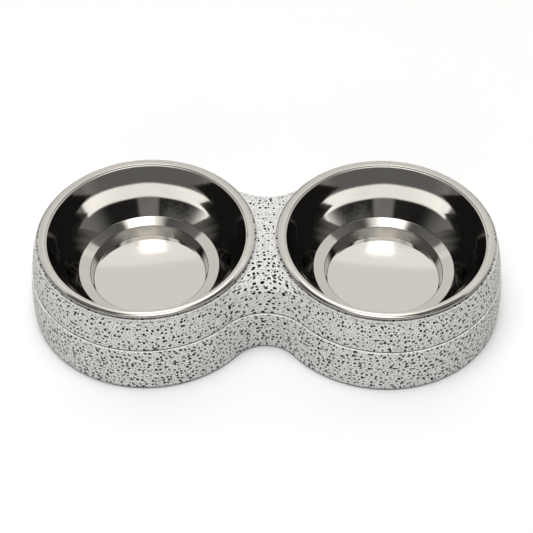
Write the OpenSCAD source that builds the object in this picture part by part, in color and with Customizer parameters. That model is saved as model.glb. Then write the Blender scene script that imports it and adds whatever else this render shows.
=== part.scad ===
// Double pet bowl: two pressed steel bowls that lift out of a one-piece moulded base on rubber feet.
// X runs along the pair of bowls, Y from front to back, Z up from the floor that the feet stand on.

/* [Base] */
// Gap between the two bowl rims
bowl_gap = 16.5; // [12:0.5:30]
// Height of the lip round each bowl above the floor
base_h = 70; // [60:1:90]
// Height of the step that runs round the sides
step_z = 41; // [30:1:46]
// How far the lower skirt stands out past the upper band at the step
step_ledge = 0.9; // [0.5:0.1:2]
// How far the upper band spreads from the lip down to the step
band_spread = 4.8; // [3:0.1:8]
// Outward bow of the upper band at half its height
band_bow = 0.9; // [0:0.1:2]
// How far the lower skirt spreads from the step down to its foot
skirt_spread = 1.7; // [0:0.1:4]
// Outward bow of the lower skirt at half its height
skirt_bow = 0.9; // [0:0.1:2]
// Bevel along the bottom edge of the skirt
edge_bevel = 0.7; // [0.4:0.1:1.5]
// Thickness of the moulded wall
wall_t = 3; // [2:0.1:4]

/* [Waist] */
// Half width of the waist at the bottom edge
waist_foot_half = 50; // [42:0.5:56]
// How far the waist leans out from the bottom edge up to the step
waist_lean = 2.6; // [0:0.1:4]
// How far the waist draws in from the step up to its shoulder
waist_draw = 2.4; // [0:0.1:5]
// Width of the round shoulder between the waist's side and its top
shoulder_w = 9.5; // [6:0.5:14]
// Height of the round shoulder
shoulder_h = 9; // [5:0.5:12]
// How far the top of the waist lies below the lip round the bowls
bridge_drop = 1; // [0.6:0.1:3]

/* [Bowl seats] */
// Gap between a bowl's rim and the lip round it
rim_gap = 1.1; // [0.6:0.1:1.5]
// How far the gap round the rim reaches below the ledge
gap_drop = 2; // [1:0.1:2.4]
// Width of the lip round each bowl
lip_w = 0.8; // [0.6:0.1:2]
// Depth of the ledge that the rim rests on, below the lip
seat_drop = 0.4; // [0.3:0.1:1.2]
// Gap between the bowl's wall and the opening in the base
wall_gap = 0.9; // [0.4:0.1:2]
// Thickness of the collar that hangs round each opening
collar_t = 2.5; // [1.5:0.1:4]
// How far the collar hangs below the ledge
collar_h = 9.6; // [5:0.1:14]

/* [Bowls] */
// Radius of the rolled rim
rim_r = 82.5; // [75:0.5:90]
// Height of the rolled rim from its underside to its top
rim_h = 2.8; // [2.2:0.1:3.6]
// Width of the rim from its outer to its inner edge
rim_w = 5.9; // [5.2:0.1:7]
// How far the rim's crest lies in from its outer edge
crown_in = 3.5; // [3:0.1:3.8]
// How far the rim falls from its crest to the outer edge
crown_drop = 0.8; // [0.4:0.1:1]
// How far the rim falls from its crest to the inner edge
crown_dip = 0.25; // [0.1:0.05:0.3]
// Radius of the bend over the rim's crest
crown_bend = 12; // [6:0.5:12]
// Radius of the roll at the top of the rim's outer edge
roll_r = 1.1; // [0.9:0.1:1.3]
// Radius of the curl at the bottom of the rim's outer edge
curl_r = 0.9; // [0.8:0.05:1]
// Thickness of the steel sheet
sheet_t = 0.7; // [0.5:0.05:0.75]
// Depth of the bowl from the rim's top to the middle of its floor
bowl_depth = 48.6; // [46:0.5:54]
// Width of the slope between the rim and the upper wall
neck_w = 1; // [0.8:0.1:1.4]
// Height of the slope between the rim and the upper wall
neck_h = 0.5; // [0.4:0.1:0.8]
// How far the upper wall leans in from its top to its foot
upper_lean = 5.9; // [4:0.1:8]
// How far the middle wall leans in
middle_lean = 5.9; // [4:0.1:8]
// Height of the middle wall
middle_h = 9.7; // [7:0.1:12]
// How far the lower wall leans in
lower_lean = 9.6; // [7:0.1:12]
// Height of the lower wall
lower_h = 13.2; // [10:0.1:16]
// Width of the ring at the foot of the wall
ring_w = 8.6; // [5:0.1:11]
// Rise of the ring from its inner to its outer edge
ring_rise = 2.4; // [1:0.1:4]
// How far the side of the well in the floor leans in
well_lean = 2; // [1:0.1:4]
// Height of the side of the well
well_h = 8.8; // [5:0.1:10]
// How far the well's floor dips to its middle
dish = 1.6; // [1:0.1:3]
// Radius of the bend at the foot of the well's side
well_foot_bend = 0.6; // [0.4:0.1:2]
// Radius of the bend at the top of the well's side
well_edge_bend = 1; // [0.9:0.1:2]
// Radius of the bend between the ring and the lower wall
ring_bend = 0.8; // [0.4:0.1:3]
// Radius of the bend between the lower and the middle wall
lower_bend = 22; // [10:1:30]
// Radius of the bend between the middle and the upper wall
upper_bend = 11; // [6:1:20]
// Radius of the bend between the upper wall and the neck
neck_bend = 1.2; // [1:0.1:1.4]
// Radius of the bend between the neck and the rim's inner edge
rim_bend = 1.5; // [1:0.1:2]

/* [Feet] */
// Radius of a foot's pad
pad_r = 7; // [5:0.5:8]
// Thickness of a foot's pad
pad_t = 3; // [2:0.5:5]
// Height of the skirt's bottom edge above the floor
foot_stand = 1; // [0.5:0.5:1.5]
// Radius of the stem that plugs into the boss
stem_r = 3; // [2:0.1:4]
// Length of the stem
stem_l = 8; // [5:0.5:10]
// Gap round the stem in its socket
stem_fit = 0.05; // [0.02:0.01:0.1]
// How far the boss stands out round the pad
boss_margin = 0.5; // [0.3:0.1:1.5]
// Height of a boss
boss_h = 12; // [11:0.5:20]
// Depth of the socket past the stem's end
socket_spare = 1; // [0.5:0.5:2]
// Gap between a foot's pad and the inside of the skirt
pad_inset = 0.2; // [0.1:0.1:1]

/* [Hidden] */
$fn = 96;
// Overrun of a cut past the face that it opens
over = 1;
// Steps round half an end, in a waist fillet, up the skirt, up the band and over the shoulder
end_steps = 18;
fillet_steps = 8;
skirt_steps = 3;
band_steps = 3;
shoulder_steps = 4;
// Turn of one step along a bend in the bowl's sheet
bend_step = 9;
// Least steps in a bend
least_steps = 3;
// Share of the well's floor that its dish takes up
dish_share = 0.96;
// Directions of the three feet under each round end, seen from its centre, for the right end
foot_dirs = [0, -120, 120];

lobe_x = rim_r + bowl_gap/2;
recess_r = rim_r + rim_gap;
lip_r = recess_r + lip_w;
band_foot_r = lip_r + band_spread;
skirt_top_r = band_foot_r + step_ledge;
skirt_foot_r = skirt_top_r + skirt_spread;
seat_z = base_h - seat_drop;
bridge_z = base_h - bridge_drop;
shoulder_z = bridge_z - shoulder_h;
rim_top_z = seat_z + rim_h;
rim_in_r = rim_r - rim_w;
wall_top_r = rim_in_r - neck_w;
rim_in_z = rim_top_z - crown_dip;
wall_top_z = rim_in_z - neck_h;
opening_r = wall_top_r + sheet_t + wall_gap;
ledge_out_r = rim_r - 2*curl_r;
middle_r = wall_top_r - upper_lean;
lower_r = middle_r - middle_lean;
ring_r = lower_r - lower_lean;
well_r = ring_r - ring_w;
floor_r = well_r - well_lean;
floor_z = rim_top_z - bowl_depth;
floor_edge_z = floor_z + dish;
well_z = floor_edge_z + well_h;
ring_z = well_z + ring_rise;
lower_z = ring_z + lower_h;
middle_z = lower_z + middle_h;
dish_bend = dish_share*floor_r/2/tan(atan(2*dish/floor_r)/2);
curl_w = 4*curl_r;
boss_r = pad_r + boss_margin;
foot_place_r = skirt_foot_r - wall_t - pad_inset - pad_r;

// Share of the way from one value to another, bowed outward in the middle
function bowed(from, to, bow, share) = from + (to - from)*share + bow*4*share*(1 - share);

// Radius of a round end at height z, on the skirt and on the band
function skirt_r(z) = let (share = (z - foot_stand)/(step_z - foot_stand))
    bowed(skirt_foot_r, skirt_top_r, skirt_bow, share);
function band_r(z) = let (share = (z - step_z)/(base_h - step_z)) bowed(band_foot_r, lip_r, band_bow, share);

// Half width of the waist at height z, on the skirt and on the band below its shoulder
function skirt_half(z) = waist_foot_half + waist_lean*(z - foot_stand)/(step_z - foot_stand);
function band_half(z) = skirt_half(step_z) - step_ledge - waist_draw*(z - step_z)/(shoulder_z - step_z);

// Levels of the outside, each a height, the radius of the round ends and the half width of the waist
function skirt_levels(steps) = [for (i = [0:steps]) let (low = foot_stand + edge_bevel,
    z = low + (step_z - low)*i/steps) [z, skirt_r(z), skirt_half(z)]];
function band_levels(steps) = [for (i = [0:steps]) let (z = step_z + (shoulder_z - step_z)*i/steps)
    [z, band_r(z), band_half(z)]];
function shoulder_levels(steps) = [for (i = [1:steps]) let (turn = 90*i/steps,
    z = shoulder_z + shoulder_h*sin(turn))
    [z, band_r(z), band_half(shoulder_z) - shoulder_w*(1 - cos(turn))]];
outside_levels = concat(
    [[foot_stand, skirt_foot_r - edge_bevel, waist_foot_half - edge_bevel]],
    skirt_levels(skirt_steps), band_levels(band_steps), shoulder_levels(shoulder_steps));

// Levels of the hollow inside, a wall's thickness in from the outside
function inward(level) = let (rise = max(0, level[0] - shoulder_z)/shoulder_h)
    [level[0] - wall_t*rise, level[1] - wall_t, level[2] - wall_t];
hollow_levels = concat(
    [[foot_stand - over, skirt_foot_r - wall_t, waist_foot_half - wall_t]],
    [for (level = concat(skirt_levels(1), band_levels(1), shoulder_levels(2))) inward(level)]);

// Back half of the outline at one level, from the right tip to the left tip: two round ends
// joined at the waist by a fillet that touches both of them
function arc(centre, r, from, to, steps) = [for (i = [1:steps]) let (a = from + (to - from)*i/steps)
    centre + r*[cos(a), sin(a)]];
function fillet_r(r, half) = (half*half + lobe_x*lobe_x - r*r)/(2*(r - half));
function back_line(r, half) =
    let (fr = fillet_r(r, half), cy = half + fr, turn = atan2(cy, lobe_x), far = 180 - turn)
    concat([[lobe_x + r, 0]],
        arc([lobe_x, 0], r, 0, far, end_steps),
        arc([0, cy], fr, -turn, -far, fillet_steps),
        arc([-lobe_x, 0], r, turn, 180, end_steps));

// Whole outline: the back half, then the front half as its mirror image
function outline(r, half) = let (back = back_line(r, half), tip = len(back) - 1)
    concat(back, [for (i = [1:tip - 1]) [back[tip - i][0], -back[tip - i][1]]]);

// Closed skin through the outlines of a stack of levels, with flat ends of strips from back to front
module skin(stack) {
    tip = 2*end_steps + fillet_steps;
    n = 2*tip;
    rings = len(stack);
    points = [for (level = stack) for (p = outline(level[1], level[2])) [p[0], p[1], level[0]]];
    sides = [for (k = [0:rings - 2]) for (i = [0:n - 1]) let (a = k*n + i, b = k*n + (i + 1)%n)
        each [[a, a + n, b], [b, a + n, b + n]]];
    strips = concat(
        [[0, 1, n - 1]],
        [for (i = [1:tip - 2]) each [[i, i + 1, n - i], [n - i, i + 1, n - i - 1]]],
        [[tip - 1, tip, tip + 1]]);
    top = [for (strip = strips) [for (i = [2, 1, 0]) strip[i] + (rings - 1)*n]];
    polyhedron(points = points, faces = concat(strips, sides, top), convexity = 4);
}

// Places a shape at both round ends
module both_ends() {
    for (side = [-1, 1])
        translate([side*lobe_x, 0, 0])
            children();
}

// Round lip that stands above the waist and frames a bowl, with the collar that hangs under it
module lip() {
    collar_r = opening_r + collar_t;
    bevel = lip_w/3;
    rotate_extrude()
        polygon([[0, seat_z - collar_h], [collar_r, seat_z - collar_h], [collar_r, seat_z - wall_t],
            [lip_r, seat_z - wall_t], [lip_r, base_h - bevel], [lip_r - bevel, base_h], [0, base_h]]);
}

// Groove that leaves a dark gap round a bowl's rim
module rim_groove() {
    rotate_extrude()
        polygon([[ledge_out_r, seat_z - gap_drop], [recess_r, seat_z - gap_drop],
            [recess_r, seat_z + over], [ledge_out_r, seat_z + over]]);
}

// Places a shape at one foot: side is -1 for the left end and 1 for the right, dir its direction
module at_foot(side, dir) {
    translate([side*(lobe_x + foot_place_r*cos(dir)), foot_place_r*sin(dir), 0])
        children();
}

// Boss on the inside of the skirt, and the socket in it for a foot's stem
module boss() {
    translate([0, 0, pad_t])
        cylinder(r = boss_r, h = boss_h);
}

module socket() {
    translate([0, 0, pad_t - over])
        cylinder(r = stem_r + stem_fit, h = stem_l + socket_spare + over);
}

module base_shell() {
    color("#cfcfcd")
    difference() {
        union() {
            difference() {
                skin(outside_levels);
                skin(hollow_levels);
            }
            both_ends()
                lip();
            for (side = [-1, 1], dir = foot_dirs)
                at_foot(side, dir)
                    boss();
        }
        both_ends() {
            cylinder(r = opening_r, h = base_h + over);
            translate([0, 0, seat_z])
                cylinder(r = recess_r, h = seat_drop + over);
            rim_groove();
        }
        for (side = [-1, 1], dir = foot_dirs)
            at_foot(side, dir)
                socket();
    }
}

// Bends of the bowl's sheet, each a radius from the axis, a height and the bend's own radius,
// from the middle of the floor up the wall, over the rim and round to the end of the curl
bends = [
    [0, floor_z, 0],
    [floor_r/2, floor_z, dish_bend],
    [floor_r, floor_edge_z, well_foot_bend],
    [well_r, well_z, well_edge_bend],
    [ring_r, ring_z, ring_bend],
    [lower_r, lower_z, lower_bend],
    [middle_r, middle_z, upper_bend],
    [wall_top_r, wall_top_z, neck_bend],
    [rim_in_r, rim_in_z, rim_bend],
    [rim_r - crown_in, rim_top_z, crown_bend],
    [rim_r, rim_top_z - crown_drop, roll_r],
    [rim_r, seat_z, curl_r],
    [rim_r - curl_w, seat_z, 0]];

function unit(v) = v/norm(v);
function at(k) = [bends[k][0], bends[k][1]];
function heading(k) = unit(at(k + 1) - at(k));
function right_of(v) = [v[1], -v[0]];

// A corner moved to the sheet's other face, and the points of the bend there
function moved(k, depth) = let (last = len(bends) - 1, a = right_of(heading(max(k - 1, 0))),
    b = right_of(heading(min(k, last - 1)))) at(k) + depth*(a + b)/(1 + a*b);
function bend(k, depth) = let (u = -heading(k - 1), v = heading(k), half = acos(u*v)/2,
    left = u[0]*v[1] - u[1]*v[0] < 0 ? 1 : -1, r = bends[k][2] + left*depth, tip = moved(k, depth),
    centre = tip + unit(u + v)*r/sin(half), from = tip + u*r/tan(half) - centre,
    total = 180 - 2*half, steps = max(least_steps, ceil(total/bend_step)))
    [for (i = [0:steps]) let (a = left*total*i/steps)
        centre + [from[0]*cos(a) - from[1]*sin(a), from[0]*sin(a) + from[1]*cos(a)]];
function face(depth) = let (last = len(bends) - 1)
    concat([moved(0, depth)], [for (k = [1:last - 1]) each bend(k, depth)], [moved(last, depth)]);

module bowl() {
    shown = face(0);
    hidden = face(sheet_t);
    n = len(hidden);
    rotate_extrude()
        polygon(concat(shown, [for (i = [1:n]) hidden[n - i]]));
}

module left_bowl() {
    color("#bdb9b1")
    translate([-lobe_x, 0, 0])
        bowl();
}

module right_bowl() {
    color("#bdb9b1")
    translate([lobe_x, 0, 0])
        bowl();
}

// Rubber foot: a pad with a bevelled sole and a stem that plugs into its boss
module foot(side, dir) {
    bevel = foot_stand/2;
    color("#3c3c3c")
    at_foot(side, dir)
        rotate_extrude()
            polygon([[0, 0], [pad_r - bevel, 0], [pad_r, bevel], [pad_r, pad_t], [stem_r, pad_t],
                [stem_r, pad_t + stem_l], [0, pad_t + stem_l]]);
}

module left_end_foot() foot(-1, foot_dirs[0]);
module left_front_foot() foot(-1, foot_dirs[1]);
module left_back_foot() foot(-1, foot_dirs[2]);
module right_end_foot() foot(1, foot_dirs[0]);
module right_front_foot() foot(1, foot_dirs[1]);
module right_back_foot() foot(1, foot_dirs[2]);

base_shell();
left_bowl();
right_bowl();
left_end_foot();
left_front_foot();
left_back_foot();
right_end_foot();
right_front_foot();
right_back_foot();
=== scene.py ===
"""Double pet bowl: two polished steel bowls in a speckled moulded base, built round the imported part.

Laid out as an add-on and run as a script. The settings are in metres; the mesh code works in millimetres.
"""

import math

import bmesh
import bpy
from bpy.props import FloatProperty, FloatVectorProperty, PointerProperty
from mathutils import Matrix, Vector
from mathutils.geometry import delaunay_2d_cdt


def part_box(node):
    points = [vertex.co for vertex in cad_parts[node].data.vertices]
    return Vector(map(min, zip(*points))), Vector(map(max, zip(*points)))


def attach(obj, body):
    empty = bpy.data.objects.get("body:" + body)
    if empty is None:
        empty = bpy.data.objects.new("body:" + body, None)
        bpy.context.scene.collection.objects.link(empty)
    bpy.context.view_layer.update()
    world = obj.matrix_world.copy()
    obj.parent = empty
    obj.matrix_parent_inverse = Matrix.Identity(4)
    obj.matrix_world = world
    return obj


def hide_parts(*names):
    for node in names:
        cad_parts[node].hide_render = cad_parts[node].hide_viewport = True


bl_info = {
    "name": "Double Pet Bowl",
    "version": (1, 0, 0),
    "blender": (4, 5, 0),
    "location": "3D View > Sidebar > Pet Bowl",
    "description": "Builds a double pet bowl with its finishes, lamps and camera",
    "category": "Add Mesh",
}

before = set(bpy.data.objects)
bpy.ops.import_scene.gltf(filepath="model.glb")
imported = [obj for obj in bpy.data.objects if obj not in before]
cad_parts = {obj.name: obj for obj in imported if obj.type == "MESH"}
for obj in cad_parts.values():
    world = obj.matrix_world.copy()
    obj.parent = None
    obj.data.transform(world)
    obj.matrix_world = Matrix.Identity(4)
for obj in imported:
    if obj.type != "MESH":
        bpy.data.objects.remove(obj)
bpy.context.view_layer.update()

MM = 0.001
LOW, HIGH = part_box("right_bowl")
LOBE_X = (LOW.x + HIGH.x) / 2 / MM
RIM_R = (HIGH.x - LOW.x) / 2 / MM
RIM_TOP = HIGH.z / MM
LOW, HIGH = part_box("base_shell")
BASE_FOOT = LOW.z / MM
BASE_TOP = HIGH.z / MM

SURFACE = "surface"
# Vertex attribute of painted light: 1 is a painted highlight on the ledge's crest, -1 painted shade in its
# corner, the groove and over the bottom edge
PAINTED_LIGHT_LINE = "line"

# Steps of the base's outline: each round end, and the fillet at the waist
END_STEPS = 64
FILLET_STEPS = 28
# Steps round a lip, a boss and a bowl
LATHE_STEPS = 192
BOSS_STEPS = 48
BOWL_STEPS = 288
# Steps up the base's outside: bottom edge, skirt, the ledge's crest, band and shoulder
EDGE_STEPS = 4
SKIRT_STEPS = 14
CREST_STEPS = 3
BAND_STEPS = 12
SHOULDER_STEPS = 12
# Steps of a small rounding, and of the opening's upper edge
ROUND_STEPS = 3
OPENING_STEPS = 4
# Largest step of a sheet's bend in degrees and its least number of steps, on the shown and the hidden face
SHOWN_BENDS = (3.0, 6)
HIDDEN_BENDS = (8.0, 3)

# The base's level whose outline measures the surface map's way round
MAP_LEVEL = 8
# Edges of the base sharper than this stay sharp, in degrees
SHARP_DEGREES = 32
# Points nearer than this are one, in metres
MERGE = 1e-9
# The sheet's points nearer than this to the axis are on it, in millimetres
ON_AXIS = 0.001
# A strip of a bowl's mesh that tells which way its faces look
PROBE_STRIP = 3

# Softness of the groove's corners as a share of its depth
GROOVE_SOFT_SHARE = 0.2
# How far the band's top stands outside the lip as a share of the skin's inset, and how late it closes onto it
LIP_CLEAR_SHARE = 0.2
CLOSING_POWER = 3
# Tone of the painted shade line over the bottom edge, where the ledge's crest has 1 for its painted highlight
# and its corner has -1 for its painted shade
FOOT_SHADE_TONE = -0.75
# Share of the floor's half that its dish bends over
DISH_SHARE = 0.96

# The bowls: name, body and place along X in millimetres
BOWLS = (("left_steel_bowl", "left_bowl", -LOBE_X), ("right_steel_bowl", "right_bowl", LOBE_X))
FEET = ("left_end_foot", "left_front_foot", "left_back_foot",
        "right_end_foot", "right_front_foot", "right_back_foot")


def length(name, description, default):
    """A length in the settings, in metres."""
    return FloatProperty(name=name, description=description, default=default, unit="LENGTH", precision=5)


def colour(name, description, default):
    """A linear colour in the settings."""
    return FloatVectorProperty(name=name, description=description, default=default, size=3, subtype="COLOR",
                               min=0.0, max=1.0)


def number(name, description, default):
    """A plain number in the settings."""
    return FloatProperty(name=name, description=description, default=default)


class BaseSizes(bpy.types.PropertyGroup):
    """Sizes of the moulded base."""
    step_z: length("Step height", "Height of the step round the sides", 0.041)
    step_ledge: length("Step ledge", "How far the skirt stands out past the band at the step", 0.0009)
    ledge_round: length("Ledge rounding", "Rounding of the ledge's outer edge", 0.0003)
    groove_h: length("Groove height", "Height of the groove above the ledge", 0.0008)
    groove_d: length("Groove depth", "Depth of the groove above the ledge", 0.0005)
    # Painted shade: the dark line in the ledge's inner corner
    shade_line_w: length("Line width", "Width of the dark line along the ledge's inner corner", 0.0001)
    # Painted highlight: the pale line below the ledge's crest
    highlight_w: length("Shine width", "Height of the pale line below the ledge's crest", 0.0005)
    # Painted shade: the dark line over the bottom edge's rounding
    foot_shade_h: length("Foot line", "Height of the dark line over the bottom edge's rounding", 0.0005)
    band_spread: length("Band spread", "How far the band spreads from the lip down to the step", 0.0048)
    band_bow: length("Band bow", "Outward bow of the band", 0.0009)
    skirt_spread: length("Skirt spread", "How far the skirt spreads from the step to its foot", 0.0017)
    skirt_bow: length("Skirt bow", "Outward bow of the skirt", 0.0009)
    edge_round: length("Edge rounding", "Rounding of the bottom edge", 0.0007)
    skin_in: length("Skin inset", "How far the skin lies inside the packed solid", 0.0001)
    wall: length("Wall", "Thickness of the moulded wall", 0.003)
    waist_foot_half: length("Waist half width", "Half width of the waist at the bottom edge", 0.05)
    waist_lean: length("Waist lean", "How far the waist leans out up to the step", 0.0026)
    waist_draw: length("Waist draw", "How far the waist draws in from the step to its shoulder", 0.0024)
    shoulder_w: length("Shoulder width", "Width of the round shoulder of the waist", 0.0095)
    shoulder_h: length("Shoulder height", "Height of the round shoulder of the waist", 0.009)
    bridge_drop: length("Bridge drop", "How far the waist's top lies below the lips", 0.001)
    rim_gap: length("Rim gap", "Gap between a bowl's rim and its lip", 0.0011)
    gap_drop: length("Gap drop", "How far the gap reaches below the ledge", 0.002)
    ledge_in: length("Ledge inset", "How far the ledge's outer edge lies inside the rim's", 0.0018)
    lip_w: length("Lip width", "Width of the lip round each bowl", 0.0008)
    lip_round: length("Lip rounding", "Rounding of the lip's edges", 0.00025)
    seat_drop: length("Seat drop", "Depth of the ledge that the rim rests on", 0.0004)
    opening_r: length("Opening radius", "Radius of the opening for a bowl", 0.0772)
    opening_round: length("Opening rounding", "Rounding of the opening's and the collar's edges", 0.0005)
    collar_t: length("Collar", "Thickness of the collar under each opening", 0.0025)
    collar_h: length("Collar height", "How far the collar hangs below the ledge", 0.0096)
    boss_r: length("Boss radius", "Radius of the bosses that hold the feet", 0.0075)
    boss_h: length("Boss height", "Height of the bosses", 0.012)
    boss_round: length("Boss rounding", "Rounding of a boss's edges", 0.0004)
    boss_place: length("Boss place", "Distance of a boss from the middle of its bowl", 0.0816)
    stem_bore: length("Stem bore", "Radius of the bore for a foot's stem", 0.00305)
    bore_depth: length("Bore depth", "Depth of the bore for a foot's stem", 0.009)
    pad_t: length("Pad thickness", "Thickness of a foot's pad", 0.003)


class BowlSizes(bpy.types.PropertyGroup):
    """Sizes of the pressed steel bowls."""
    rim_h: length("Rim height", "Height of the rim from its underside", 0.0028)
    rim_w: length("Rim width", "Width of the rim from its outer to its inner edge", 0.0059)
    crown_in: length("Crown place", "How far the rim's crest lies in from its outer edge", 0.0035)
    crown_drop: length("Crown drop", "Fall of the rim from its crest to the outer edge", 0.0008)
    crown_dip: length("Crown dip", "Fall of the rim from its crest to the inner edge", 0.00025)
    crown_bend: length("Crown bend", "Radius of the bend over the rim's crest", 0.012)
    side_lean: length("Side lean", "How far the rim's outer side leans in toward its top", 0.0005)
    roll_r: length("Roll", "Radius of the roll at the top of the outer edge", 0.0011)
    curl_r: length("Curl", "Radius of the curl at the bottom of the outer edge", 0.0009)
    curl_w: length("Curl width", "How far the curl runs back under the rim", 0.0036)
    sheet: length("Sheet", "Thickness of the steel sheet", 0.0007)
    depth: length("Depth", "Depth of the bowl below the rim's top", 0.0486)
    neck_w: length("Neck width", "Width of the step between the rim and the wall", 0.001)
    shelf_drop: length("Shelf drop", "Fall of the step's shelf toward the wall", 0.0001)
    riser_h: length("Riser height", "Height of the step from its shelf to the rim's inner edge", 0.00085)
    riser_lean: length("Riser lean", "How far the step's riser leans in", 0.0001)
    riser_bend: length("Riser bend", "Bend between the shelf and the riser", 0.00015)
    upper_lean: length("Upper lean", "How far the upper wall leans in", 0.0059)
    middle_lean: length("Middle lean", "How far the middle wall leans in", 0.0059)
    middle_h: length("Middle height", "Height of the middle wall", 0.0097)
    lower_lean: length("Lower lean", "How far the lower wall leans in", 0.0096)
    lower_h: length("Lower height", "Height of the lower wall", 0.0132)
    ring_w: length("Ring width", "Width of the ring at the foot of the wall", 0.0086)
    ring_rise: length("Ring rise", "Rise of the ring to its outer edge", 0.0024)
    well_lean: length("Well lean", "How far the well's side leans in", 0.002)
    well_h: length("Well height", "Height of the well's side", 0.0088)
    dish: length("Dish", "How far the well's floor dips to its middle", 0.0016)
    well_foot_bend: length("Well foot bend", "Bend at the foot of the well's side", 0.0006)
    well_edge_bend: length("Well edge bend", "Bend at the top of the well's side", 0.001)
    ring_bend: length("Ring bend", "Bend between the ring and the lower wall", 0.0008)
    lower_bend: length("Lower bend", "Bend between the lower and the middle wall", 0.050)
    upper_bend: length("Upper bend", "Bend between the middle and the upper wall", 0.060)
    neck_bend: length("Neck bend", "Bend between the upper wall and the step's shelf", 0.00075)
    rim_bend: length("Rim bend", "Bend between the step's riser and the rim's inner edge", 0.00075)


class Finishes(bpy.types.PropertyGroup):
    """Colours of the finishes."""
    ground: colour("Ground", "Light ground of the melamine", (0.758, 0.76, 0.750))
    mottle: colour("Mottle", "Mid grey of the melamine's mottle", (0.50, 0.50, 0.49))
    speck: colour("Speck", "Dark specks of the melamine", (0.004, 0.004, 0.004))
    pale_speck: colour("Pale speck", "Paler specks of the melamine", (0.20, 0.20, 0.20))
    steel: colour("Steel", "Polished steel", (0.64, 0.63, 0.61))
    rubber: colour("Rubber", "Rubber of the feet", (0.035, 0.035, 0.035))


class Studio(bpy.types.PropertyGroup):
    """Floor and camera."""
    floor_size: length("Floor size", "Side of the square floor", 6.0)
    camera_x: length("Camera X", "Place of the camera along X", 0.01329)
    camera_y: length("Camera Y", "Place of the camera along Y", -0.78625)
    camera_z: length("Camera Z", "Height of the camera", 0.89552)
    elevation: number("Elevation", "How steeply the camera looks down, in degrees", 47.525)
    yaw: number("Yaw", "Turn of the camera round the upright, in degrees", 0.960)
    roll: number("Roll", "Tilt of the camera round its view, in degrees", -0.369)
    lens: number("Lens", "Focal length in millimetres", 101.614)


class Lengths:
    """The lengths of a settings group, in millimetres."""

    def __init__(self, group):
        self.group = group

    def __getattr__(self, name):
        return getattr(self.group, name) / MM


# Profiles and outlines, in millimetres

def arc_points(centre, radius, start, end, steps):
    """Points along an arc, without its first one, angles in degrees."""
    turns = [math.radians(start + (end - start) * i / steps) for i in range(1, steps + 1)]
    return [(centre[0] + radius * math.cos(a), centre[1] + radius * math.sin(a)) for a in turns]


def bowed(start, end, bow, part):
    """A value part of the way from start to end, bowed outward in the middle."""
    return start + (end - start) * part + bow * 4 * part * (1 - part)


def quarter(steps):
    """The angles of a quarter turn, without the first."""
    return [math.radians(90 * i / steps) for i in range(1, steps + 1)]


def between(low, high, steps):
    """Even heights from low to high, without the first."""
    return [low + (high - low) * i / steps for i in range(1, steps + 1)]


def waist_outline(radius, half):
    """The closed outline of one level: two round ends joined by a fillet at the waist."""
    fillet = (half * half + LOBE_X * LOBE_X - radius * radius) / (2 * (radius - half))
    cy = half + fillet
    turn = math.degrees(math.atan2(cy, LOBE_X))
    back = [(LOBE_X + radius, 0.0)]
    back += arc_points((LOBE_X, 0), radius, 0, 180 - turn, END_STEPS)
    back += arc_points((0, cy), fillet, -turn, turn - 180, FILLET_STEPS)
    back += arc_points((-LOBE_X, 0), radius, turn, 180, END_STEPS)
    return back + [(x, -y) for x, y in reversed(back[1:-1])]


def circle(centre, radius, count):
    """The points of a circle."""
    turns = [2 * math.pi * i / count for i in range(count)]
    return [(centre[0] + radius * math.cos(a), centre[1] + radius * math.sin(a)) for a in turns]


def way_round(outline):
    """The distance along a closed outline at each of its points, and at its end."""
    total, out = 0.0, [0.0]
    for a, b in zip(outline, outline[1:] + outline[:1]):
        total += math.dist(a, b) * MM
        out.append(total)
    return out


def rounded(corner, before, after, radius, steps):
    """Points of the rounding at a profile's corner."""
    p, a, b = Vector(corner), Vector(before), Vector(after)
    u, v = (a - p).normalized(), (b - p).normalized()
    half = math.acos(max(-1.0, min(1.0, u.dot(v)))) / 2
    centre = p + (u + v).normalized() * radius / math.sin(half)
    start = p + u * radius / math.tan(half) - centre
    side = 1 if u.x * v.y - u.y * v.x < 0 else -1
    turn = side * (math.pi - 2 * half)
    points = []
    for i in range(steps + 1):
        t = turn * i / steps
        points.append((centre.x + start.x * math.cos(t) - start.y * math.sin(t),
                       centre.y + start.x * math.sin(t) + start.y * math.cos(t)))
    return points


def rounded_path(path, bends):
    """Points of the roundings at a path's inner corners, with a radius and a number of steps for each."""
    points = []
    for before, corner, after, (radius, steps) in zip(path, path[1:], path[2:], bends):
        points += rounded(corner, before, after, radius, steps)
    return points


# Mesh building

def add_ring(bm, points, z):
    """Vertices of one level."""
    return [bm.verts.new((x * MM, y * MM, z * MM)) for x, y in points]


def wrap(bm, rings, along):
    """Faces up a stack of rings, with a surface map of the way round and the way up."""
    layer = bm.loops.layers.uv[SURFACE]
    n = len(rings[0])
    up = [0.0] * n
    for low, high in zip(rings, rings[1:]):
        top = [v + (b.co - a.co).length for v, a, b in zip(up, low, high)]
        for i in range(n):
            j = (i + 1) % n
            face = bm.faces.new((low[i], low[j], high[j], high[i]))
            spots = ((along[i], up[i]), (along[i + 1], up[j]), (along[i + 1], top[j]), (along[i], top[i]))
            for loop, spot in zip(face.loops, spots):
                loop[layer].uv = spot
        up = top


def lathe(bm, centre, profile, count):
    """Rings of a lathe round an upright axis, joined from the first to the last profile point."""
    rings = [add_ring(bm, circle(centre, radius, count), z) for radius, z in profile]
    wrap(bm, rings, way_round(circle(centre, profile[0][0], count)))
    return rings


def is_inside(point, outline):
    """Whether a point lies inside a closed outline."""
    inside = False
    for (xa, ya), (xb, yb) in zip(outline, outline[1:] + outline[:1]):
        if (ya > point.y) != (yb > point.y) and point.x < (xb - xa) * (point.y - ya) / (yb - ya) + xa:
            inside = not inside
    return inside


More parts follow.
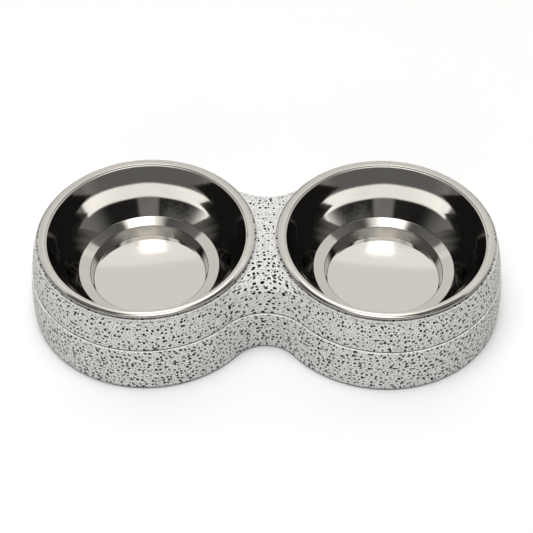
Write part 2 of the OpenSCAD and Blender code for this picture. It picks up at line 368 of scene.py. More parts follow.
def fill_between(bm, outer, holes):
    """A flat face from the outer ring to round holes, whose vertices it shares."""
    layer = bm.loops.layers.uv[SURFACE]
    rings = [outer] + holes
    verts = [v for ring in rings for v in ring]
    edges, first = [], 0
    for ring in rings:
        n = len(ring)
        edges += [(first + i, first + (i + 1) % n) for i in range(n)]
        first += n
    points, _, faces, origins, _, _ = delaunay_2d_cdt([v.co.xy for v in verts], edges, [], 0, MERGE)
    centres = [sum((v.co for v in hole), Vector()) / len(hole) for hole in holes]
    radii = [(hole[0].co - centre).length for hole, centre in zip(holes, centres)]
    outline = [tuple(v.co.xy) for v in outer]
    for face in faces:
        mid = sum((points[i] for i in face), Vector((0, 0))) / len(face)
        in_hole = any((mid - centre.xy).length < radius for centre, radius in zip(centres, radii))
        if not in_hole and is_inside(mid, outline):
            made = bm.faces.new([verts[origins[i][0]] for i in face])
            for loop in made.loops:
                loop[layer].uv = loop.vert.co.xy


def finish_mesh(name, bm, material):
    """The object of a finished mesh, smooth but for its sharp edges."""
    bmesh.ops.recalc_face_normals(bm, faces=bm.faces)
    mesh = bpy.data.meshes.new(name)
    bm.to_mesh(mesh)
    bm.free()
    mesh.materials.append(material)
    for polygon in mesh.polygons:
        polygon.use_smooth = True
    mesh.set_sharp_from_angle(angle=math.radians(SHARP_DEGREES))
    return add_object(name, mesh)


def add_object(name, data):
    """A new object in the scene."""
    thing = bpy.data.objects.new(name, data)
    bpy.context.scene.collection.objects.link(thing)
    return thing


# Finishes

class Graph:
    """Short ways to add and join shader nodes."""

    def __init__(self, tree):
        self.tree = tree
        tree.nodes.clear()

    def add(self, kind, **settings):
        """A new node."""
        node = self.tree.nodes.new(kind)
        for key, value in settings.items():
            setattr(node, key, value)
        return node

    def put(self, value, socket):
        """Gives an input a value, or links another node's output to it."""
        if hasattr(value, "is_output"):
            self.tree.links.new(value, socket)
        elif socket.type == "RGBA" and len(value) == 3:
            socket.default_value = (*value, 1.0)
        else:
            socket.default_value = value

    def math(self, operation, a, b=0.0):
        """A sum of one or two values."""
        node = self.add("ShaderNodeMath", operation=operation)
        self.put(a, node.inputs[0])
        self.put(b, node.inputs[1])
        return node.outputs[0]

    def vector(self, operation, a, b):
        """A sum of two vectors, or of a vector and its scale."""
        node = self.add("ShaderNodeVectorMath", operation=operation)
        self.put(a, node.inputs[0])
        self.put(b, node.inputs["Scale" if operation == "SCALE" else 1])
        return node.outputs["Value" if operation == "DOT_PRODUCT" else "Vector"]

    def join(self, x, y, z):
        """A vector from its three parts."""
        node = self.add("ShaderNodeCombineXYZ")
        for value, socket in zip((x, y, z), node.inputs):
            self.put(value, socket)
        return node.outputs[0]

    def split(self, place):
        """The three parts of a vector."""
        node = self.add("ShaderNodeSeparateXYZ")
        self.put(place, node.inputs[0])
        return node.outputs

    def spread(self, value, low, high, to_low=0.0, to_high=1.0):
        """A smooth step of a value from low to high."""
        node = self.add("ShaderNodeMapRange", interpolation_type="SMOOTHSTEP", clamp=True)
        for socket, v in zip(node.inputs, (value, low, high, to_low, to_high)):
            self.put(v, socket)
        return node.outputs[0]

    def noise(self, place, scale, detail, rough):
        """A noise's outputs, Fac and Color."""
        node = self.add("ShaderNodeTexNoise")
        for name, value in (("Vector", place), ("Scale", scale), ("Detail", detail), ("Roughness", rough)):
            self.put(value, node.inputs[name])
        return node.outputs

    def mix(self, amount, a, b):
        """A colour part of the way from a to b."""
        node = self.add("ShaderNodeMix", data_type="RGBA")
        for socket, value in ((node.inputs[0], amount), (node.inputs[6], a), (node.inputs[7], b)):
            self.put(value, socket)
        return node.outputs[2]


class Finish(Graph):
    """A material with one surface shader."""

    def __init__(self, name):
        self.material = bpy.data.materials.new(name)
        self.material.use_nodes = True
        super().__init__(self.material.node_tree)
        out = self.add("ShaderNodeOutputMaterial")
        self.shader = self.add("ShaderNodeBsdfPrincipled")
        self.put(self.shader.outputs["BSDF"], out.inputs["Surface"])
        self.place = self.add("ShaderNodeTexCoord").outputs["Object"]

    def set(self, **values):
        """Sets inputs of the surface shader, with _ for each space in their names."""
        for name, value in values.items():
            self.put(value, self.shader.inputs[name.replace("_", " ")])

    def bump(self, height, strength, distance):
        """Roughens the surface by a height."""
        node = self.add("ShaderNodeBump")
        for name, value in (("Height", height), ("Strength", strength), ("Distance", distance)):
            self.put(value, node.inputs[name])
        self.put(node.outputs["Normal"], self.shader.inputs["Normal"])

    def reach(self, x, y):
        """The distance from the upright axis of the nearer bowl."""
        from_axis = self.vector("ADD", self.join(self.math("ABSOLUTE", x), y, 0.0), (-LOBE_X * MM, 0.0, 0.0))
        return self.math("SQRT", self.vector("DOT_PRODUCT", from_axis, from_axis))


# How far a speck's outline wanders, in metres, the scale of the wandering, and how freely specks are placed
WOBBLE = 0.0002
WOBBLE_SCALE = 650.0
DISORDER = 0.85
# Softness of a speck's edge, and where the pale ring round it starts and is full, in metres
SPECK_SOFT = 0.00008
RING_START = 0.0010
RING_FULL = 0.0002

# Layers of specks: spacing, least and greatest radius, share of places filled where they are fewest, what is
# added where they crowd, and how far the layer is moved along the surface map and, as a share, up it
BIG_SPECKS = (0.0039, (0.00076, 0.00132), 0.30, 0.55, 0.0)
MIDDLE_SPECKS = (0.0027, (0.00045, 0.00074), 0.42, 0.13, 0.31)
SMALL_SPECKS = (0.0018, (0.00032, 0.00050), 0.55, 0.10, 0.77)
UP_SHARE = 0.37

# Tones of the specks: the spans of their draw over which they pass from their first tone to the second
BIG_TONES = (0.80, 1.0)
MIDDLE_TONES = (0.40, 1.0)
SMALL_TONES = (0.0, 0.8)

# Where the specks crowd, in metres, each from not at all to fully: low down, in front, and on the waist's top
# with its front slope
LOW_Z = (0.056, 0.030)
FRONT_Y = (0.030, -0.050)
BRIDGE_X = (0.042, 0.022)
BRIDGE_Z = (0.052, 0.062)
BRIDGE_FRONT_Y = (-0.008, -0.032)

# Shares of the crowding: that of the front alone, of the waist's top and of its front slope, and the share of
# its size that a speck keeps where they are fewest
FRONT_SHARE = 0.80
BRIDGE_SHARE = 0.48
BRIDGE_FRONT_SHARE = 0.50
SIZE_SHARE = 0.75

# The lips stay clear of specks: below their top in metres, and outside them, each from clear to speckled
CLEAR_Z = (0.0003, 0.0015)
CLEAR_R = (0.0003, 0.0013)

# The ground's mottle: the share of its fine grain, and the span over which it passes from mottle to ground
FINE_SHARE = 0.65
MOTTLE_SPAN = (0.36, 0.60)
# How much paler than the ground the specks' rings and the ledge's crest are, and how much of that shows; the
# crest's paleness is a painted highlight
RING_GAIN = 1.14
RING_SHARE = 0.6
PAINTED_HIGHLIGHT_GAIN = 1.3
PAINTED_HIGHLIGHT_SHARE = 0.75
# Tone of the painted shade lines in the ledge's corner, the groove and over the bottom edge as a share of the
# mottle's, and of the rubber's dark grain as a share of the rubber's
PAINTED_SHADE_SHARE = 0.25
GRAIN_SHARE = 0.75


def speck_layer(n, spot, cell, radii, kept, grow, moved):
    """Round specks on the surface map: their mask, the pale ring round each and their tone.

    The share of places that have a speck, and the factor of its size, may change from place to place.
    """
    cells = n.add("ShaderNodeTexVoronoi", voronoi_dimensions="2D")
    place = n.vector("ADD", spot, (moved, moved * UP_SHARE, 0.0))
    for name, value in (("Vector", place), ("Scale", 1 / cell), ("Randomness", DISORDER)):
        n.put(value, cells.inputs[name])
    pick = n.split(cells.outputs["Color"])
    shown = n.math("LESS_THAN", pick[1], kept)
    size = n.math("ADD", n.math("MULTIPLY", pick[0], (radii[1] - radii[0]) / cell), radii[0] / cell)
    edge = n.math("SUBTRACT", n.math("MULTIPLY", size, grow), cells.outputs["Distance"])
    mask = n.math("MULTIPLY", n.spread(edge, -SPECK_SOFT / cell, SPECK_SOFT / cell), shown)
    ring = n.math("MULTIPLY", n.spread(edge, -RING_START / cell, -RING_FULL / cell), shown)
    return mask, ring, pick[2]


def speck_crowd(n, x, y, z):
    """How much the specks crowd at a place, from 0 to 1: low down, in front and on the waist's top."""
    low = n.spread(z, *LOW_Z)
    front = n.spread(y, *FRONT_Y)
    on_bridge = n.math("MULTIPLY", n.spread(n.math("ABSOLUTE", x), *BRIDGE_X), n.spread(z, *BRIDGE_Z))
    bridge_front = n.math("MULTIPLY", on_bridge, n.spread(y, *BRIDGE_FRONT_Y))
    crowd = n.math("MULTIPLY", front, n.math("ADD", n.math("MULTIPLY", low, 1 - FRONT_SHARE), FRONT_SHARE))
    on_top = n.math("ADD", n.math("MULTIPLY", bridge_front, BRIDGE_FRONT_SHARE), BRIDGE_SHARE)
    return n.math("MAXIMUM", crowd, n.math("MULTIPLY", on_bridge, on_top))


def melamine(colours, lip_r):
    """Moulded melamine: a light mottled ground with black and grey specks, densest low down and in front,
    with a painted highlight along the ledge's crest and painted shade in its corner, its groove and over the
    bottom edge.
    """
    n = Finish("speckled_melamine")
    x, y, z = n.split(n.place)
    chart = n.add("ShaderNodeUVMap", uv_map=SURFACE).outputs["UV"]
    noise = n.noise(n.place, scale=WOBBLE_SCALE, detail=1.0, rough=0.5)["Color"]
    wobble = n.vector("SUBTRACT", noise, (0.5, 0.5, 0.5))
    spot = n.vector("ADD", chart, n.vector("SCALE", wobble, WOBBLE))

    crowd = speck_crowd(n, x, y, z)
    below_lip = n.spread(z, *(BASE_TOP * MM - d for d in CLEAR_Z))
    outside_lip = n.spread(n.reach(x, y), *(lip_r * MM + d for d in CLEAR_R))
    clear = n.math("MAXIMUM", below_lip, outside_lip)
    # Painted light from the line attribute: a painted highlight on the ledge's crest, painted shade in its
    # corner, the groove and over the bottom edge
    line = n.add("ShaderNodeAttribute", attribute_name=PAINTED_LIGHT_LINE).outputs["Fac"]
    painted_highlight, dark = n.spread(line, 0.0, 1.0), n.spread(line, 0.0, -1.0)

    fine = n.noise(n.place, scale=1000.0, detail=2.0, rough=0.7)["Fac"]
    broad = n.noise(n.place, scale=300.0, detail=2.0, rough=0.55)["Fac"]
    patches = n.math("ADD", n.math("MULTIPLY", fine, FINE_SHARE), n.math("MULTIPLY", broad, 1 - FINE_SHARE))
    ground = n.mix(n.spread(patches, *MOTTLE_SPAN), colours.mottle, colours.ground)
    pale = tuple(min(1.0, c * RING_GAIN) for c in colours.ground)
    # Tone of the painted highlight on the ledge's crest
    painted_highlight_tone = tuple(min(1.0, c * PAINTED_HIGHLIGHT_GAIN) for c in colours.ground)
    grow = n.math("ADD", n.math("MULTIPLY", crowd, 1 - SIZE_SHARE), SIZE_SHARE)

    def layer(cell, radii, least, more, moved):
        kept = n.math("MULTIPLY", n.math("ADD", n.math("MULTIPLY", crowd, more), least), clear)
        return speck_layer(n, spot, cell, radii, kept, grow, moved)

    big, big_ring, big_tone = layer(*BIG_SPECKS)
    middle, middle_ring, middle_tone = layer(*MIDDLE_SPECKS)
    small, _, small_tone = layer(*SMALL_SPECKS)
    rings = n.math("MULTIPLY", n.math("MAXIMUM", big_ring, middle_ring), RING_SHARE)
    now = n.mix(small, ground, n.mix(n.spread(small_tone, *SMALL_TONES), colours.pale_speck, colours.mottle))
    now = n.mix(rings, now, pale)
    now = n.mix(middle, now, n.mix(n.spread(middle_tone, *MIDDLE_TONES), colours.speck, colours.pale_speck))
    now = n.mix(big, now, n.mix(n.spread(big_tone, *BIG_TONES), colours.speck, colours.pale_speck))
    # Paint the highlight on the ledge's crest, then the shade in its corner, the groove and over the bottom
    # edge
    now = n.mix(n.math("MULTIPLY", painted_highlight, PAINTED_HIGHLIGHT_SHARE), now, painted_highlight_tone)
    now = n.mix(dark, now, tuple(c * PAINTED_SHADE_SHARE for c in colours.mottle))
    n.set(Base_Color=now, Roughness=0.5, Specular_IOR_Level=0.25)
    n.bump(broad, strength=0.08, distance=0.0002)
    return n.material


def polished_steel(colours):
    """Polished pressed steel with a faint drawn grain round the bowl."""
    n = Finish("polished_steel")
    x, y, z = n.split(n.place)
    grain = n.noise(n.join(n.reach(x, y), z, 0.0), scale=1500.0, detail=2.0, rough=0.6)["Fac"]
    cloud = n.noise(n.place, scale=420.0, detail=2.0, rough=0.5)["Fac"]
    roughness = n.spread(cloud, low=0.3, high=0.7, to_low=0.04, to_high=0.07)
    n.set(Base_Color=tuple(colours.steel), Metallic=1.0, Roughness=roughness)
    n.bump(grain, strength=0.05, distance=0.00005)
    return n.material


def foot_rubber(colours):
    """Matt dark rubber with a fine grain."""
    n = Finish("foot_rubber")
    grain = n.noise(n.place, scale=2200.0, detail=2.0, rough=0.5)["Fac"]
    dark = tuple(c * GRAIN_SHARE for c in colours.rubber)
    n.set(Base_Color=n.mix(grain, dark, tuple(colours.rubber)), Roughness=0.75)
    n.bump(grain, strength=0.2, distance=0.0001)
    return n.material


# Pieces

def lip_radius(s):
    """The outer radius of the lip round a bowl."""
    return RIM_R + s.rim_gap + s.lip_w


def outside_levels(s):
    """Levels of the base's outside from the bottom edge to the waist's top: height, radius, half width."""
    foot, top, step = BASE_FOOT, BASE_TOP, s.step_z
    lip_r = lip_radius(s)
    band_foot = lip_r + s.band_spread
    skirt_top = band_foot + s.step_ledge
    skirt_foot = skirt_top + s.skirt_spread
    bridge = top - s.bridge_drop
    shoulder = bridge - s.shoulder_h
    half_foot = s.waist_foot_half - s.skin_in
    half_step = half_foot + s.waist_lean - s.step_ledge

    def skirt(z):
        part = (z - foot) / (step - foot)
        radius = bowed(skirt_foot, skirt_top, s.skirt_bow, part) - s.skin_in
        return radius, half_foot + s.waist_lean * part

    def band(z):
        part = (z - step) / (top - step)
        radius = bowed(band_foot, lip_r, s.band_bow, part) - s.skin_in
        near_top = max(0.0, (z - shoulder) / (bridge - shoulder))
        radius += (lip_r + s.skin_in * LIP_CLEAR_SHARE - radius) * near_top ** CLOSING_POWER
        return radius, half_step - s.waist_draw * (z - step) / (shoulder - step)

    # Bottom edge
    edge = s.edge_round
    low = foot + edge
    r, h = skirt(low)
    r, h = r - edge, h - edge
    levels = [(foot, r, h)]
    for a in quarter(EDGE_STEPS):
        levels.append((low - edge * math.cos(a), r + edge * math.sin(a), h + edge * math.sin(a)))

    # Skirt, with close levels where the painted shade over the bottom edge and the painted highlight below
    # the crest start or end
    crest = s.ledge_round
    ledge = step - crest
    shade, shine = low + s.foot_shade_h, ledge - s.highlight_w
    heights = [shade, shade + s.shade_line_w] + between(shade, shine, SKIRT_STEPS) + [ledge]
    levels += [(z, *skirt(z)) for z in heights]

    # The ledge's crest
    r, h = skirt(ledge)
    r, h = r - crest, h - crest
    for a in quarter(CREST_STEPS):
        levels.append((ledge + crest * math.sin(a), r + crest * math.cos(a), h + crest * math.cos(a)))

    # The ledge, the painted shade line in its corner, and the groove: height, and how far out from the band
    roof = step + s.groove_h
    cut, line = s.groove_d, s.shade_line_w
    soft = cut * GROOVE_SOFT_SHARE
    groove = [(step, line + soft), (step, line), (step, soft - cut), (step + soft, -cut),
              (roof - soft, -cut), (roof, soft - cut), (roof, -soft), (roof + soft, 0)]
    r, h = band(roof)
    levels += [(z, r + out, h + out) for z, out in groove]

    # Band and shoulder
    levels += [(z, *band(z)) for z in between(roof + soft, shoulder, BAND_STEPS)]
    half_top = band(shoulder)[1]
    for a in quarter(SHOULDER_STEPS):
        z = shoulder + s.shoulder_h * math.sin(a)
        levels.append((z, band(z)[0], half_top - s.shoulder_w * (1 - math.cos(a))))
    return levels


def inside_levels(s):
    """Levels of the hollow under the base, a wall's thickness in from the outside."""
    bridge = BASE_TOP - s.bridge_drop
    shoulder = bridge - s.shoulder_h
    levels = []
    for z, radius, half in outside_levels(s)[EDGE_STEPS:]:
        z -= s.wall * max(0.0, (z - shoulder) / s.shoulder_h)
        if not levels or z > levels[-1][0] + s.edge_round:
            levels.append((z, radius - s.wall, half - s.wall))
    levels[0] = (BASE_FOOT, levels[0][1], levels[0][2])
    _, radius, half = outside_levels(s)[-1]
    levels.append((bridge - s.wall, radius - s.wall, half - s.wall))
    return levels


def lip_profile(s):
    """The lip, the gap round the rim, the ledge and the collar, from the waist's top to its underside."""
    bridge, top, seat = BASE_TOP - s.bridge_drop, BASE_TOP, BASE_TOP - s.seat_drop
    lip, recess, ledge = lip_radius(s), RIM_R + s.rim_gap, RIM_R - s.ledge_in
    opening, collar = s.opening_r, s.opening_r + s.collar_t
    drop, low = seat - s.gap_drop, seat - s.collar_h
    path = [(lip, bridge), (lip, top), (recess, top), (recess, drop), (ledge, drop), (ledge, seat),
            (opening, seat), (opening, low), (collar, low), (collar, bridge)]
    bends = [(s.lip_round, ROUND_STEPS)] * 5
    bends += [(s.opening_round, OPENING_STEPS)] + [(s.opening_round, ROUND_STEPS)] * 2
    return path[:1] + rounded_path(path, bends) + [(collar, bridge - s.wall)]


def add_bosses(bm, s):
    """The six bosses with their bores."""
    foot, roof = s.pad_t, s.pad_t + s.boss_h
    path = [(s.stem_bore, foot), (s.boss_r, foot), (s.boss_r, roof), (0, roof)]
    shape = [(s.stem_bore, foot + s.bore_depth)] + path[:1]
    shape += rounded_path(path, [(s.boss_round, ROUND_STEPS)] * 2)
    for side in (-1, 1):
        for turn in (0, -120, 120):
            a = math.radians(turn)
            centre = (side * (LOBE_X + s.boss_place * math.cos(a)), s.boss_place * math.sin(a))
            made = lathe(bm, centre, shape, BOSS_STEPS)
            bm.faces.new(made[0])
            bm.faces.new(made[-1])


def mark_painted_light(bm, rings, levels, s):
    """Marks the ledge's crest with a painted highlight, and its inner corner, the groove and the bottom edge
    with painted shade.
    """
    layer = bm.verts.layers.float[PAINTED_LIGHT_LINE]
    step, roof = s.step_z, s.step_z + s.groove_h
    corner = next(radius for z, radius, _ in levels if z > roof) + 1.5 * s.shade_line_w
    for ring, (z, radius, _) in zip(rings, levels):
        tone = 0.0
        # Painted shade over the bottom edge; on the step, a painted highlight on the crest and painted shade
        # in the corner and groove
        if z < BASE_FOOT + s.edge_round + s.foot_shade_h + s.shade_line_w / 2:
            tone = FOOT_SHADE_TONE
        elif step - s.ledge_round - s.highlight_w / 2 < z <= roof:
            tone = 1.0 if radius > corner else -1.0
        for vert in ring:
            vert[layer] = tone


def build_base(s, material):
    """The moulded base: its outside with the step, the lips, the hollow underneath and the bosses."""
    bm = bmesh.new()
    bm.loops.layers.uv.new(SURFACE)
    bm.verts.layers.float.new(PAINTED_LIGHT_LINE)
    levels = outside_levels(s)
    outer = [add_ring(bm, waist_outline(r, h), z) for z, r, h in levels]
    mark_painted_light(bm, outer, levels, s)
    inner = [add_ring(bm, waist_outline(r, h), z) for z, r, h in inside_levels(s)]
    wrap(bm, inner[::-1] + outer, way_round(waist_outline(*levels[MAP_LEVEL][1:])))
    lips = [lathe(bm, (side * LOBE_X, 0), lip_profile(s), LATHE_STEPS) for side in (-1, 1)]
    fill_between(bm, outer[-1], [rings[0] for rings in lips])
    fill_between(bm, inner[-1], [rings[-1] for rings in lips])
    add_bosses(bm, s)
    return finish_mesh("moulded_base", bm, material)


def bowl_corners(s):
    """Corners of a bowl's sheet from its floor's middle to the end of the curl: radius, height, bend."""
    top, seat = RIM_TOP, RIM_TOP - s.rim_h
    rim_in = RIM_R - s.rim_w
    wall_top = rim_in - s.neck_w
    middle = wall_top - s.upper_lean
    lower = middle - s.middle_lean
    ring = lower - s.lower_lean
    well = ring - s.ring_w
    floor = well - s.well_lean
    floor_z = top - s.depth
    edge_z = floor_z + s.dish
    well_z = edge_z + s.well_h
    ring_z = well_z + s.ring_rise
    lower_z = ring_z + s.lower_h
    middle_z = lower_z + s.middle_h
    riser_z = top - s.crown_dip - s.riser_h
    dish_bend = DISH_SHARE * floor / 2 / math.tan(math.atan(2 * s.dish / floor) / 2)
    return [
        (0.0, floor_z, 0.0),
        (floor / 2, floor_z, dish_bend),
        (floor, edge_z, s.well_foot_bend),
        (well, well_z, s.well_edge_bend),
        (ring, ring_z, s.ring_bend),
        (lower, lower_z, s.lower_bend),
        (middle, middle_z, s.upper_bend),
        (wall_top, riser_z - s.shelf_drop, s.neck_bend),
        (rim_in - s.riser_lean, riser_z, s.riser_bend),
        (rim_in, top - s.crown_dip, s.rim_bend),
        (RIM_R - s.crown_in, top, s.crown_bend),
        (RIM_R - s.side_lean, top - s.crown_drop, s.roll_r),
        (RIM_R, seat, s.curl_r),
        (RIM_R - s.curl_w, seat, 0.0),
    ]


def sheet_face(corners, depth, largest, least):
    """One face of the bent sheet: runs of (point, normal), at a depth in from the shown face.

    A bend has steps no larger than the largest, in degrees, and at least the least number of them.
    """
    points = [Vector(c[:2]) for c in corners]
    headings = [(b - a).normalized() for a, b in zip(points, points[1:])]
    right = [Vector((h.y, -h.x)) for h in headings]

    def moved(k):
        a = right[max(k - 1, 0)]
        b = right[min(k, len(right) - 1)]
        return points[k] + (a + b) * depth / (1 + a.dot(b))

    out = [(moved(0), -right[0])]
    for k in range(1, len(points) - 1):
        u, v = -headings[k - 1], headings[k]
        half = math.acos(max(-1.0, min(1.0, u.dot(v)))) / 2
        left = 1 if u.x * v.y - u.y * v.x < 0 else -1
        radius = corners[k][2] + left * depth
        tip = moved(k)
        centre = tip + (u + v).normalized() * radius / math.sin(half)
        start = tip + u * radius / math.tan(half) - centre
        total = math.pi - 2 * half
        steps = max(least, math.ceil(math.degrees(total) / largest))
        for i in range(steps + 1):
            t = left * total * i / steps
            cos, sin = math.cos(t), math.sin(t)
            ray = Vector((start.x * cos - start.y * sin, start.x * sin + start.y * cos))
            out.append((centre + ray, ray.normalized() * -left))
    out.append((moved(len(points) - 1), -right[-1]))
    return out


def bowl_mesh(name, centre_x, profile, split):
    """A closed lathe with its exact surface normals: split is the strip that closes the sheet's edge."""
    turns = [2 * math.pi * i / BOWL_STEPS for i in range(BOWL_STEPS)]
    bm = bmesh.new()
    rings = []
    for p, q in profile:
        around = turns if p.x > ON_AXIS else turns[:1]
        rings.append([bm.verts.new(((centre_x + p.x * math.cos(a)) * MM, p.x * math.sin(a) * MM, p.y * MM))
                      for a in around])
    normals = []
    for k, (low, high) in enumerate(zip(rings, rings[1:])):
        along = (profile[k + 1][0] - profile[k][0]).normalized()
        square = Vector((-along.y, along.x))
        for i in range(BOWL_STEPS):
            j = (i + 1) % BOWL_STEPS
            corners = [(k, low[i % len(low)], i), (k + 1, high[i % len(high)], i),
                       (k + 1, high[j % len(high)], j), (k, low[j % len(low)], j)]
            if len(high) == 1:
                corners.pop(2)
            if len(low) == 1:
                corners.pop(3)
            bm.faces.new([vert for _, vert, _ in corners])
            for at, _, turn in corners:
                q = square if k == split else profile[at][1]
                normals.append((q.x * math.cos(turns[turn]), q.x * math.sin(turns[turn]), q.y))
    mesh = bpy.data.meshes.new(name)
    bm.to_mesh(mesh)
    bm.free()
    for polygon in mesh.polygons:
        polygon.use_smooth = True
    probe = mesh.polygons[PROBE_STRIP * BOWL_STEPS]
    if probe.normal.dot(Vector(normals[probe.loop_start])) < 0:
        mesh.flip_normals()
        turned = []
        for polygon in mesh.polygons:
            own = normals[polygon.loop_start:polygon.loop_start + polygon.loop_total]
            turned += [own[0]] + own[:0:-1]
        normals = turned
    mesh.normals_split_custom_set(normals)
    return mesh


def build_bowl(name, centre_x, s, material):
    """A pressed steel bowl whose reflections run smooth."""
    shown = sheet_face(bowl_corners(s), 0.0, *SHOWN_BENDS)
    hidden = [(p, -q) for p, q in sheet_face(bowl_corners(s), s.sheet, *HIDDEN_BENDS)]
    mesh = bowl_mesh(name, centre_x, shown + hidden[::-1], len(shown) - 1)
    mesh.materials.append(material)
    return add_object(name, mesh)


# Studio

# Level of the studio's dark parts, its turn to the left as a slope, and its tint
AMBIENT = 0.015
STUDIO_TURN = 0.018
STUDIO_TINT = (1.047, 1.008, 0.951)

# Soft panels of the studio: strength, nearest and farthest angle from the back with their fade, lowest and
# highest elevation with their fade, and sag, all but the strength in degrees. A panel sags fully at the first
# of the SAG_TURNS and not at all at the second.
SAG_TURNS = (95.0, 165.0)
PANELS = (
    (0.63, -90, 53, 20, -90, 56, 2, 0),
    (0.17, -90, 53, 20, 35, 56, 30, 0),
    (0.20, -90, 20, 20, 49.9, 53, 0.3, 0),
    (1.20, 5.8, 8.7, 0.4, 51.9, 55, 0.3, 0),
    (1.40, -90, 10, 3, 55.6, 57.6, 1.8, 0),
    (0.92, -90, 270, 1, 77, 83.5, 5, 0),
    (0.49, -90, 40, 40, 77, 83.5, 5, 0),
    (0.45, -90, 270, 1, 85, 120, 3, 0),
    (0.75, -90, 270, 1, 88, 120, 1.5, 0),
    (0.09, -90, 16, 8, 42, 53, 3, 0),
    (1.20, -90, 16, 8, 58, 76, 3, 0),
    (0.18, -90, 93, 40, -90, 20, 5, 0),
    (1.14, 104, 270, 6, 17.4, 21.8, 4, 10),
    (0.20, 115, 270, 10, 61, 120, 13, 0),
    (0.13, 115, 270, 10, -90, 14, 4, 0),
    (0.20, 170, 270, 7, 25, 27.2, 1, 0),
    (1.20, 81, 99, 12, 67.7, 71.7, 4, 0),
)

# Soft lamps: name, place, width and height in metres, power in watts
LAMPS = (
    ("top_softbox", (-0.2, -0.5, 3.0), (2.6, 2.6), 72),
    ("front_softbox", (-0.3, -3.0, 1.4), (2.4, 1.6), 14.5),
)

# Tone of the floor, and its tone as the camera sees it
FLOOR_TONE = (0.80, 0.80, 0.80)
FLOOR_SEEN = (0.925, 0.93, 0.942)

# Width of the camera's sensor in millimetres
SENSOR_W = 36.0


def add_floor(s):
    """A plain white floor."""
    half = s.floor_size / 2
    corners = [(-half, -half, 0), (half, -half, 0), (half, half, 0), (-half, half, 0)]
    mesh = bpy.data.meshes.new("floor")
    mesh.from_pydata(corners, [], [(0, 1, 2, 3)])
    n = Finish("floor_white")
    seen = n.add("ShaderNodeLightPath").outputs["Is Camera Ray"]
    n.set(Base_Color=n.mix(seen, FLOOR_TONE, FLOOR_SEEN), Roughness=0.9, Specular_IOR_Level=0.0)
    mesh.materials.append(n.material)
    add_object("floor", mesh)


def add_lamp(name, place, size, power):
    """A soft lamp that faces the middle of the floor and doesn't show in the steel."""
    lamp = bpy.data.lights.new(name, "AREA")
    lamp.shape = "RECTANGLE"
    lamp.size, lamp.size_y = size
    lamp.energy = power
    thing = add_object(name, lamp)
    thing.location = place
    thing.rotation_euler = (-Vector(place)).to_track_quat("-Z", "Y").to_euler()
    thing.visible_glossy = False


def add_world():
    """White to the camera; round the object the soft panels of a studio, the same on its two sides."""
    world = bpy.data.worlds.new("studio")
    bpy.context.scene.world = world
    world.use_nodes = True
    n = Graph(world.node_tree)
    x, y, z = n.split(n.add("ShaderNodeTexCoord").outputs["Generated"])
    beside = n.math("ABSOLUTE", n.math("ADD", x, n.math("MULTIPLY", y, STUDIO_TURN)))
    turn = n.math("DEGREES", n.math("ARCTAN2", beside, y))
    rise = n.math("DEGREES", n.math("ARCSINE", z))
    level = AMBIENT
    for strength, near, far, turn_fade, low, high, rise_fade, sag in PANELS:
        height = n.math("ADD", rise, n.spread(turn, *SAG_TURNS, sag, 0.0)) if sag else rise
        panel = n.spread(turn, near - turn_fade, near)
        panel = n.math("MULTIPLY", panel, n.spread(turn, far + turn_fade, far))
        panel = n.math("MULTIPLY", panel, n.spread(height, low - rise_fade, low))
        panel = n.math("MULTIPLY", panel, n.spread(height, high + rise_fade, high, 0.0, strength))
        level = n.math("ADD", level, panel)
    out = n.add("ShaderNodeOutputWorld")
    seen, room = n.add("ShaderNodeBackground"), n.add("ShaderNodeBackground")
    both = n.add("ShaderNodeMixShader")
    n.put((1.0, 1.0, 1.0), seen.inputs["Color"])
    n.put(STUDIO_TINT, room.inputs["Color"])
    n.put(level, room.inputs["Strength"])
    n.put(n.add("ShaderNodeLightPath").outputs["Is Camera Ray"], both.inputs[0])
    n.put(room.outputs[0], both.inputs[1])
    n.put(seen.outputs[0], both.inputs[2])
    n.put(both.outputs[0], out.inputs["Surface"])


def add_camera(s):
    """The camera at the photograph's angle."""
    elevation, yaw, roll = math.radians(s.elevation), math.radians(s.yaw), math.radians(s.roll)
    across = math.cos(elevation)
    away = Vector((math.sin(yaw) * across, -math.cos(yaw) * across, math.sin(elevation)))
    side = (-away).cross(Vector((0, 0, 1))).normalized()
    up = side.cross(-away)
    right = side * math.cos(roll) + up * math.sin(roll)
    rise = up * math.cos(roll) - side * math.sin(roll)
    data = bpy.data.cameras.new("photo_camera")
    data.lens = s.lens
    data.sensor_width = SENSOR_W
    data.sensor_fit = "HORIZONTAL"
    camera = add_object("photo_camera", data)
    turn = Matrix((right, rise, away)).transposed().to_4x4()
    camera.matrix_world = Matrix.Translation((s.camera_x, s.camera_y, s.camera_z)) @ turn
    bpy.context.scene.camera = camera


# Operators and panel

class PETBOWL_OT_base(bpy.types.Operator):
    """Build the moulded base in its speckled finish"""
    bl_idname = "petbowl.base"
    bl_label = "Moulded Base"

    def execute(self, context):
        scene = context.scene
        sizes = Lengths(scene.petbowl_base)
        piece = build_base(sizes, melamine(scene.petbowl_finishes, lip_radius(sizes)))
        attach(piece, "base")
        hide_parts("base_shell")
        return {"FINISHED"}


class PETBOWL_OT_bowls(bpy.types.Operator):
    """Build the two polished steel bowls"""
    bl_idname = "petbowl.bowls"
    bl_label = "Steel Bowls"

    def execute(self, context):
        scene = context.scene
        sizes = Lengths(scene.petbowl_bowl)
        steel = polished_steel(scene.petbowl_finishes)
        for name, body, centre_x in BOWLS:
            piece = build_bowl(name, centre_x, sizes, steel)
            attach(piece, body)
            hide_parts(body)
        return {"FINISHED"}


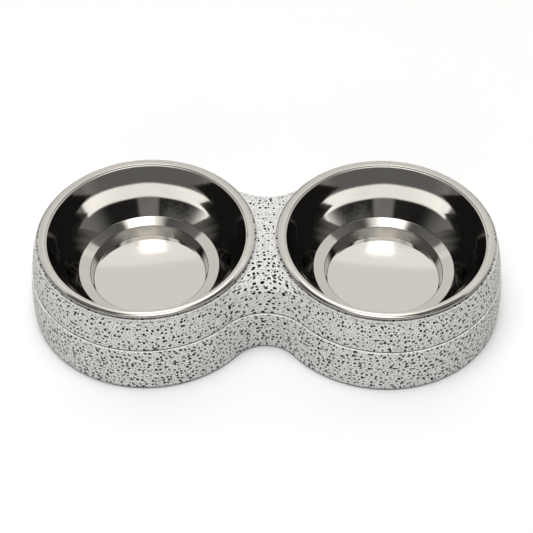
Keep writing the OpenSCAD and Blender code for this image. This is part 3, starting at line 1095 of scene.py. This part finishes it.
class PETBOWL_OT_feet(bpy.types.Operator):
    """Give the six feet their rubber"""
    bl_idname = "petbowl.feet"
    bl_label = "Rubber Feet"

    def execute(self, context):
        rubber = foot_rubber(context.scene.petbowl_finishes)
        for name in FEET:
            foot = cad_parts[name]
            if not foot.material_slots:
                foot.data.materials.append(rubber)
            for slot in foot.material_slots:
                slot.material = rubber
        return {"FINISHED"}


class PETBOWL_OT_stage(bpy.types.Operator):
    """Set up the floor, the lamps, the world and the camera"""
    bl_idname = "petbowl.stage"
    bl_label = "Stage"

    def execute(self, context):
        scene = context.scene
        s = scene.petbowl_studio
        add_floor(s)
        for lamp in LAMPS:
            add_lamp(*lamp)
        add_world()
        add_camera(s)
        scene.view_settings.view_transform = "Standard"
        return {"FINISHED"}


class PETBOWL_PT_panel(bpy.types.Panel):
    """Double pet bowl"""
    bl_label = "Double Pet Bowl"
    bl_idname = "PETBOWL_PT_panel"
    bl_space_type = "VIEW_3D"
    bl_region_type = "UI"
    bl_category = "Pet Bowl"

    def draw(self, context):
        for operator in OPERATORS:
            self.layout.operator(operator.bl_idname)
        for group in GROUPS:
            settings = getattr(context.scene, group)
            box = self.layout.box()
            for name in settings.bl_rna.properties.keys():
                if name not in ("rna_type", "name"):
                    box.prop(settings, name)


OPERATORS = (PETBOWL_OT_base, PETBOWL_OT_bowls, PETBOWL_OT_feet, PETBOWL_OT_stage)
GROUPS = {"petbowl_base": BaseSizes, "petbowl_bowl": BowlSizes, "petbowl_finishes": Finishes,
          "petbowl_studio": Studio}


def register():
    """Register the settings, the operators and the panel."""
    for kind in (*GROUPS.values(), *OPERATORS, PETBOWL_PT_panel):
        bpy.utils.register_class(kind)
    for name, kind in GROUPS.items():
        setattr(bpy.types.Scene, name, PointerProperty(type=kind))


def unregister():
    """Take the settings, the operators and the panel back."""
    for name in GROUPS:
        delattr(bpy.types.Scene, name)
    for kind in reversed((*GROUPS.values(), *OPERATORS, PETBOWL_PT_panel)):
        bpy.utils.unregister_class(kind)


def main():
    """Build the whole object and its stage."""
    register()
    bpy.ops.petbowl.base()
    bpy.ops.petbowl.bowls()
    bpy.ops.petbowl.feet()
    bpy.ops.petbowl.stage()
    bpy.context.view_layer.update()


if __name__ == "__main__":
    main()
